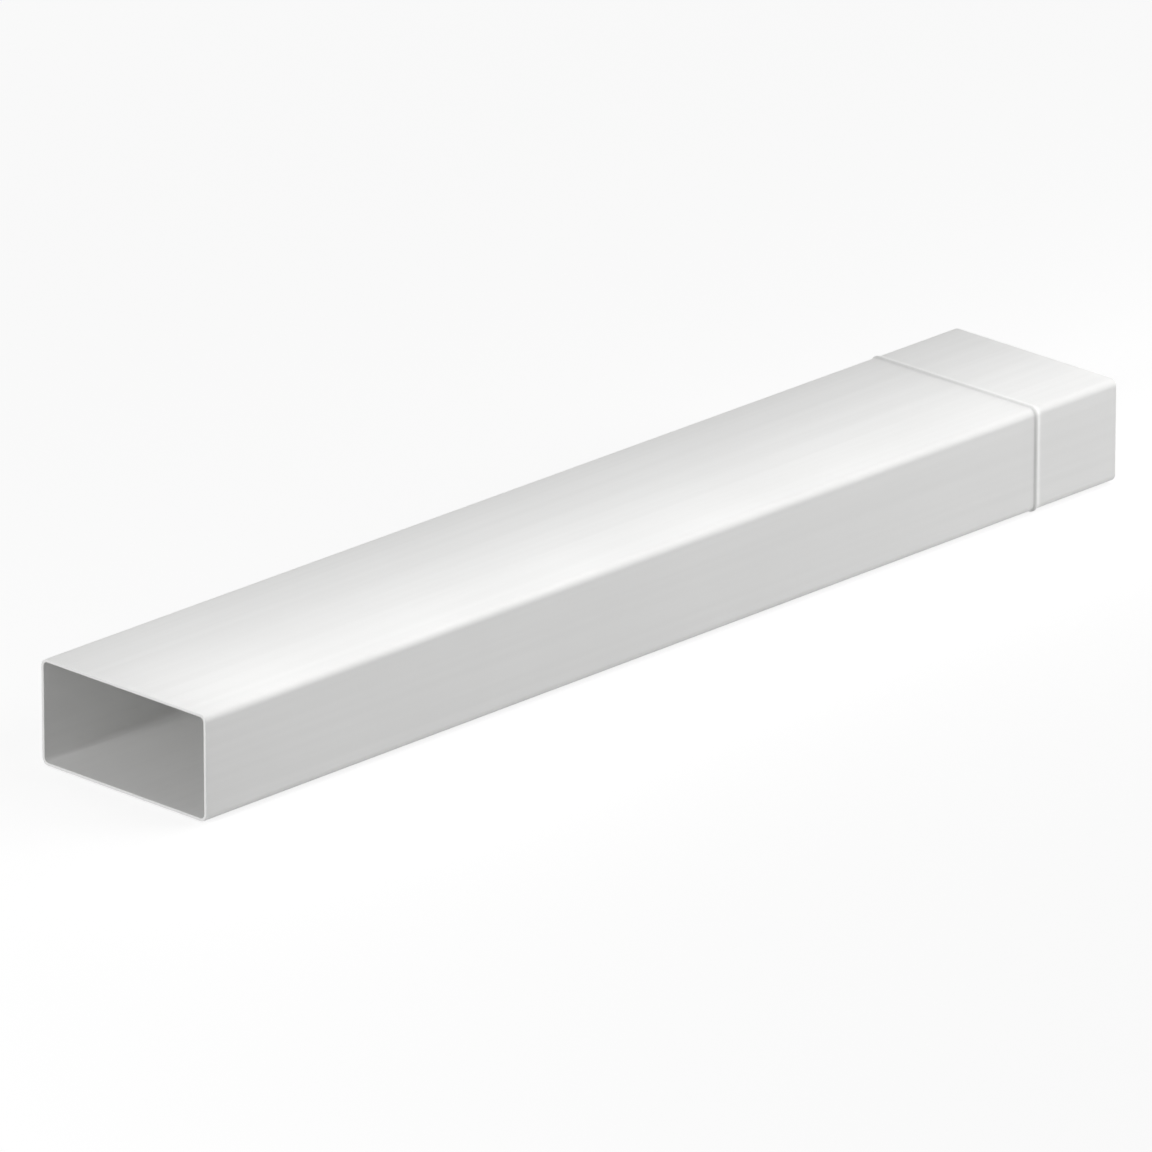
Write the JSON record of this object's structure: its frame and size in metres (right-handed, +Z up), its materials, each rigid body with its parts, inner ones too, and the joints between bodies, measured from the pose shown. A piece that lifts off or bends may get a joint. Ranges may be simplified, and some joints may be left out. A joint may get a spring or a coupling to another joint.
{
  "type": "flat channel duct",
  "caption": "Straight rectangular duct with thin walls and round corners, open at both ends, with a stop bead round one end, for carrying air through a wall, plinth or ceiling void.",
  "frame": {"origin": "on the floor under the middle of the duct, level with the lowest line of the bead", "axes": "+X across the duct's width, +Y along the duct from the plain end to the spigot end, +Z up, square to the wide faces"},
  "size_m": [0.1116, 0.635, 0.0556],
  "materials": {
    "white_pvc": "satin"
  },
  "bodies": {
    "root": {"flat_channel_duct": "white_pvc"}
  },
  "joints": []
}
